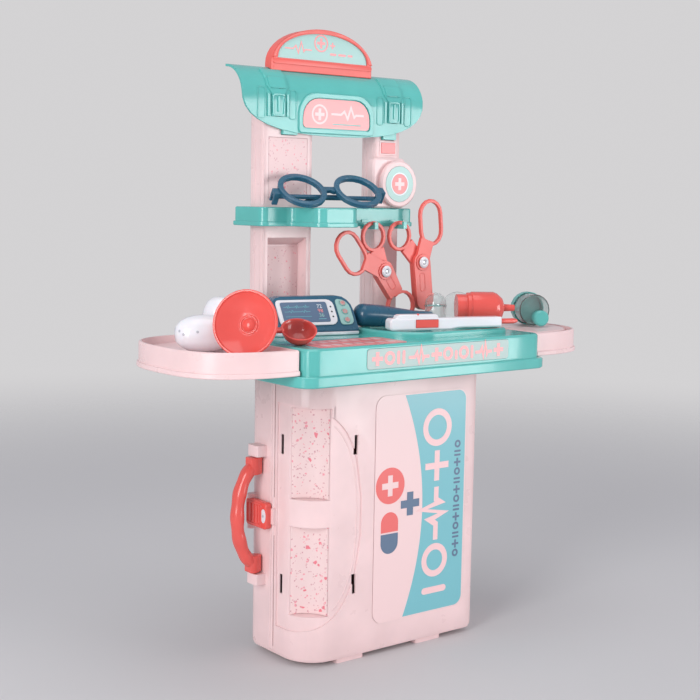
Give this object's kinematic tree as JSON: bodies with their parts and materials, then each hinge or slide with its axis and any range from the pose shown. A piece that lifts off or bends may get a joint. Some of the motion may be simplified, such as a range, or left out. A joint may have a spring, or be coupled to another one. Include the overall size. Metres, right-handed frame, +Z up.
{
  "type": "toy doctor case",
  "caption": "Child's two-shell case standing on end as a play stand, with table, side trays, shelf, curved canopy and doctor toys.",
  "frame": {"origin": "centre of the bounding box's bottom, on the floor under the case", "axes": "+Z up, +X along the front to the side with the hinge, +Y from the front of the stand to its back"},
  "size_m": [0.536, 0.2212, 0.679],
  "materials": {
    "pink": "pale pink moulded plastic, satin",
    "mint": "turquoise moulded plastic, satin",
    "coral": "coral moulded plastic, glossy",
    "deep_blue": "deep teal-blue moulded plastic, glossy",
    "white": "white moulded plastic, glossy",
    "pale_mint_print": "printed label, pale mint ground",
    "rose_print": "printed label, rose ground",
    "slate_print": "printed label, slate blue ground",
    "speckled_pink": "pale pink with small coral and rose flecks",
    "clear": "clear moulded plastic",
    "steel": "bright steel wire"
  },
  "bodies": {
    "stand": {"back_shell": "pink", "hinge_pin": "steel", "table": "mint", "table_front_label": "pale_mint_print", "table_top_label": "rose_print", "left_tray": "pink", "right_tray": "pink", "left_column": "pink", "left_column_cover": "pink", "right_column": "pink", "right_column_cover": "pink", "left_column_upper_insert": "speckled_pink", "left_column_lower_insert": "speckled_pink", "right_column_label": "coral", "badge_block": "pink", "badge_disc": "pink", "badge_label": "pale_mint_print", "shelf": "mint", "canopy": "mint", "canopy_label": "rose_print", "sign_frame": "coral", "sign_label": "pale_mint_print"},
    "front_case": {"front_shell": "pink", "case_upper_insert": "speckled_pink", "case_lower_insert": "speckled_pink", "graphic_panel": "pale_mint_print"},
    "handle": {"carry_handle": "coral"},
    "latch": {"latch_clip": "coral"},
    "glasses": {"glasses_frame": "deep_blue"},
    "left_temple": {"glasses_left_temple": "deep_blue"},
    "right_temple": {"glasses_right_temple": "deep_blue"},
    "left_forceps": {"left_forceps_hung_half": "coral", "left_forceps_rivet": "white"},
    "left_forceps_free": {"left_forceps_free_half": "coral"},
    "right_forceps": {"right_forceps_hung_half": "coral", "right_forceps_rivet": "white"},
    "right_forceps_free": {"right_forceps_free_half": "coral"},
    "monitor": {"monitor_base": "white", "monitor_housing": "deep_blue", "monitor_bezel": "white", "monitor_screen": "slate_print", "monitor_key_strip": "pale_mint_print"},
    "key_1": {"monitor_key_1": "coral"},
    "key_2": {"monitor_key_2": "coral"},
    "key_3": {"monitor_key_3": "coral"},
    "first_bulb": {"lying_bulb": "white"},
    "second_bulb": {"standing_bulb": "white"},
    "dish": {"reflector_dish": "coral"},
    "bowl_toy": {"bowl": "coral"},
    "thermometer": {"thermometer_body": "white", "thermometer_tip": "coral"},
    "thermometer_key": {"thermometer_button": "coral"},
    "mallet": {"mallet_handle": "deep_blue"},
    "vial": {"clear_vial": "clear"},
    "cap": {"clear_cap": "clear"},
    "bottle": {"medicine_bottle": "coral"},
    "jar": {"jar_barrel": "clear", "jar_spout": "mint"},
    "jar_lid": {"jar_cap": "mint"}
  },
  "joints": [
    {"name": "case_open", "type": "hinge", "parent": "stand", "child": "front_case", "pos_m": [0.125, 0.0106, 0.155], "axis": [0, 0, 1], "range_deg": [0, 110]},
    {"name": "handle_swing", "type": "hinge", "parent": "stand", "child": "handle", "pos_m": [-0.1265, 0.031, 0.155], "axis": [0, 0, -1], "range_deg": [-50, 50]},
    {"name": "latch_turn", "type": "hinge", "parent": "stand", "child": "latch", "pos_m": [-0.1255, 0.042, 0.1565], "axis": [0, 0, -1], "range_deg": [0, 30]},
    {"name": "glasses_lift", "type": "slide", "parent": "stand", "child": "glasses", "axis": [0, -0.5, 0.866], "range_m": [0, 0.18]},
    {"name": "left_temple_fold", "type": "hinge", "parent": "glasses", "child": "left_temple", "pos_m": [-0.09734, 0.0449, 0.49406], "axis": [0.1592, 0.7826, 0.6018], "range_deg": [0, 88]},
    {"name": "right_temple_fold", "type": "hinge", "parent": "glasses", "child": "right_temple", "pos_m": [0.03009, 0.02571, 0.49328], "axis": [-0.1592, -0.7826, -0.6018], "range_deg": [0, 88]},
    {"name": "left_forceps_lift", "type": "slide", "parent": "stand", "child": "left_forceps", "axis": [0, 0, 1], "range_m": [0, 0.0035]},
    {"name": "left_forceps_open", "type": "hinge", "parent": "left_forceps", "child": "left_forceps_free", "pos_m": [0.0481, 0.0379, 0.4116], "axis": [0, -1, 0], "range_deg": [0, 25]},
    {"name": "right_forceps_lift", "type": "slide", "parent": "stand", "child": "right_forceps", "axis": [0, 0, 1], "range_m": [0, 0.0035]},
    {"name": "right_forceps_open", "type": "hinge", "parent": "right_forceps", "child": "right_forceps_free", "pos_m": [0.1078, 0.0424, 0.4207], "axis": [0, 1, 0], "range_deg": [0, 25]},
    {"name": "monitor_lift", "type": "slide", "parent": "stand", "child": "monitor", "axis": [0, 0, 1], "range_m": [0, 0.05]},
    {"name": "key_1_press", "type": "slide", "parent": "monitor", "child": "key_1", "axis": [0.1532, 0.7882, -0.5961], "range_m": [0, 0.0012], "stiffness_N_per_m": 300},
    {"name": "key_2_press", "type": "slide", "parent": "monitor", "child": "key_2", "axis": [0.1532, 0.7882, -0.5961], "range_m": [0, 0.0012], "stiffness_N_per_m": 300},
    {"name": "key_3_press", "type": "slide", "parent": "monitor", "child": "key_3", "axis": [0.1532, 0.7882, -0.5961], "range_m": [0, 0.0012], "stiffness_N_per_m": 300},
    {"name": "first_bulb_lift", "type": "slide", "parent": "stand", "child": "first_bulb", "axis": [0, 0, 1], "range_m": [0, 0.06]},
    {"name": "second_bulb_lift", "type": "slide", "parent": "stand", "child": "second_bulb", "axis": [0, 0, 1], "range_m": [0, 0.06]},
    {"name": "dish_lift", "type": "slide", "parent": "stand", "child": "dish", "axis": [0, 0, 1], "range_m": [0, 0.06]},
    {"name": "bowl_lift", "type": "slide", "parent": "stand", "child": "bowl_toy", "axis": [0, 0, 1], "range_m": [0, 0.06]},
    {"name": "thermometer_lift", "type": "slide", "parent": "stand", "child": "thermometer", "axis": [0, 0, 1], "range_m": [0, 0.06]},
    {"name": "thermometer_press", "type": "slide", "parent": "thermometer", "child": "thermometer_key", "axis": [0.2756, 0.9613, 0], "range_m": [0, 0.0012], "stiffness_N_per_m": 300},
    {"name": "mallet_lift", "type": "slide", "parent": "stand", "child": "mallet", "axis": [0, 0, 1], "range_m": [0, 0.06]},
    {"name": "vial_lift", "type": "slide", "parent": "stand", "child": "vial", "axis": [0, 0, 1], "range_m": [0, 0.06]},
    {"name": "cap_lift", "type": "slide", "parent": "stand", "child": "cap", "axis": [0, 0, 1], "range_m": [0, 0.03]},
    {"name": "bottle_lift", "type": "slide", "parent": "stand", "child": "bottle", "axis": [0, 0, 1], "range_m": [0, 0.06]},
    {"name": "jar_lift", "type": "slide", "parent": "stand", "child": "jar", "axis": [0, 0, 1], "range_m": [0, 0.06]},
    {"name": "jar_lid_pull", "type": "slide", "parent": "jar", "child": "jar_lid", "axis": [0.4695, 0.8829, 0], "range_m": [0, 0.012]}
  ],
  "couplings": [
    {"joint": "left_temple_fold", "follows": "glasses_lift", "rad_per_m": 8.53},
    {"joint": "right_temple_fold", "follows": "glasses_lift", "rad_per_m": 8.53}
  ]
}
